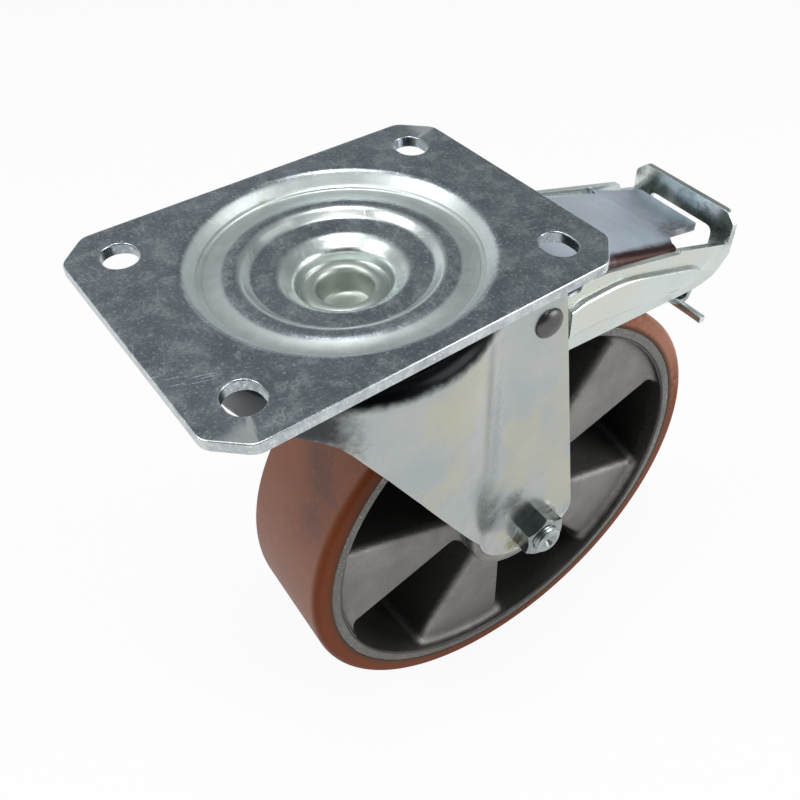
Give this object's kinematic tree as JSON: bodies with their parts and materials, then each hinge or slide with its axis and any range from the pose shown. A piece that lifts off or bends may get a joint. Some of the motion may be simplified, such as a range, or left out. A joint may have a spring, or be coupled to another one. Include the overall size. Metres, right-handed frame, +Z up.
{
  "type": "swivel castor",
  "caption": "Swivel castor: slotted rectangular top plate with embossed rings, pressed fork, cast aluminium wheel with brown bonded tread, and a pedal lever that locks wheel and swivel.",
  "frame": {"origin": "centre of the top plate's upper face, on the swivel axis", "axes": "+Z up along the swivel axis, +Y along the plate's long side towards the pedal lever, +X along the plate's short side towards the axle nut"},
  "size_m": [0.11, 0.2338, 0.245],
  "materials": {
    "plate_zinc": "zinc plated, scratched",
    "zinc": "bright zinc plated",
    "leaf_zinc": "blue zinc plated",
    "steel": "ground",
    "dark_steel": "dark oiled",
    "cast_aluminium": "sand cast, rim machined",
    "tread": "satin polyurethane",
    "black_seal": "matt",
    "cage": "matt"
  },
  "bodies": {
    "base": {"top_plate": "plate_zinc", "kingpin": "zinc", "lower_race": "steel", "locking_disc": "steel"},
    "upper_ball_row": {"upper_balls": "steel"},
    "lower_ball_row": {"lower_balls": "steel"},
    "swivel_fork": {"fork": "zinc", "head_seal": "black_seal", "axle_bolt": "zinc", "axle_nut": "zinc", "axle_sleeve": "steel", "inner_spacer": "steel", "outer_spacers": "zinc", "near_inner_ring": "steel", "far_inner_ring": "steel", "pivot_rivets": "dark_steel", "pivot_washers": "zinc"},
    "wheel": {"wheel_centre": "cast_aluminium", "tread": "tread", "near_outer_ring": "steel", "far_outer_ring": "steel", "near_seals": "black_seal", "far_seals": "black_seal"},
    "near_ball_set": {"near_balls": "steel", "near_cage": "cage"},
    "far_ball_set": {"far_balls": "steel", "far_cage": "cage"},
    "brake": {"brake_lever": "zinc", "brake_leaf": "leaf_zinc", "brake_shoe": "zinc", "shoe_bar": "zinc"}
  },
  "joints": [
    {"name": "swivel", "type": "hinge", "parent": "base", "child": "swivel_fork", "pos_m": [0, 0, -0.017], "axis": [0, 0, 1], "continuous": true},
    {"name": "upper_ball_roll", "type": "hinge", "parent": "base", "child": "upper_ball_row", "pos_m": [0, 0, -0.01235], "axis": [0, 0, 1], "continuous": true},
    {"name": "lower_ball_roll", "type": "hinge", "parent": "base", "child": "lower_ball_row", "pos_m": [0, 0, -0.02155], "axis": [0, 0, 1], "continuous": true},
    {"name": "wheel_spin", "type": "hinge", "parent": "swivel_fork", "child": "wheel", "pos_m": [0.00247, 0.05895, -0.145], "axis": [0.9991, -0.0419, 0], "continuous": true},
    {"name": "near_ball_roll", "type": "hinge", "parent": "swivel_fork", "child": "near_ball_set", "pos_m": [0.00247, 0.05895, -0.145], "axis": [0.9991, -0.0419, 0], "continuous": true},
    {"name": "far_ball_roll", "type": "hinge", "parent": "swivel_fork", "child": "far_ball_set", "pos_m": [0.00247, 0.05895, -0.145], "axis": [0.9991, -0.0419, 0], "continuous": true},
    {"name": "brake_press", "type": "hinge", "parent": "swivel_fork", "child": "brake", "pos_m": [0.00228, 0.05445, -0.03], "axis": [0.9991, -0.0419, 0], "range_deg": [-5, 0]}
  ],
  "couplings": [
    {"joint": "upper_ball_roll", "follows": "swivel", "ratio": 0.5},
    {"joint": "lower_ball_roll", "follows": "swivel", "ratio": 0.5},
    {"joint": "near_ball_roll", "follows": "wheel_spin", "ratio": 0.6194},
    {"joint": "far_ball_roll", "follows": "wheel_spin", "ratio": 0.6194}
  ]
}
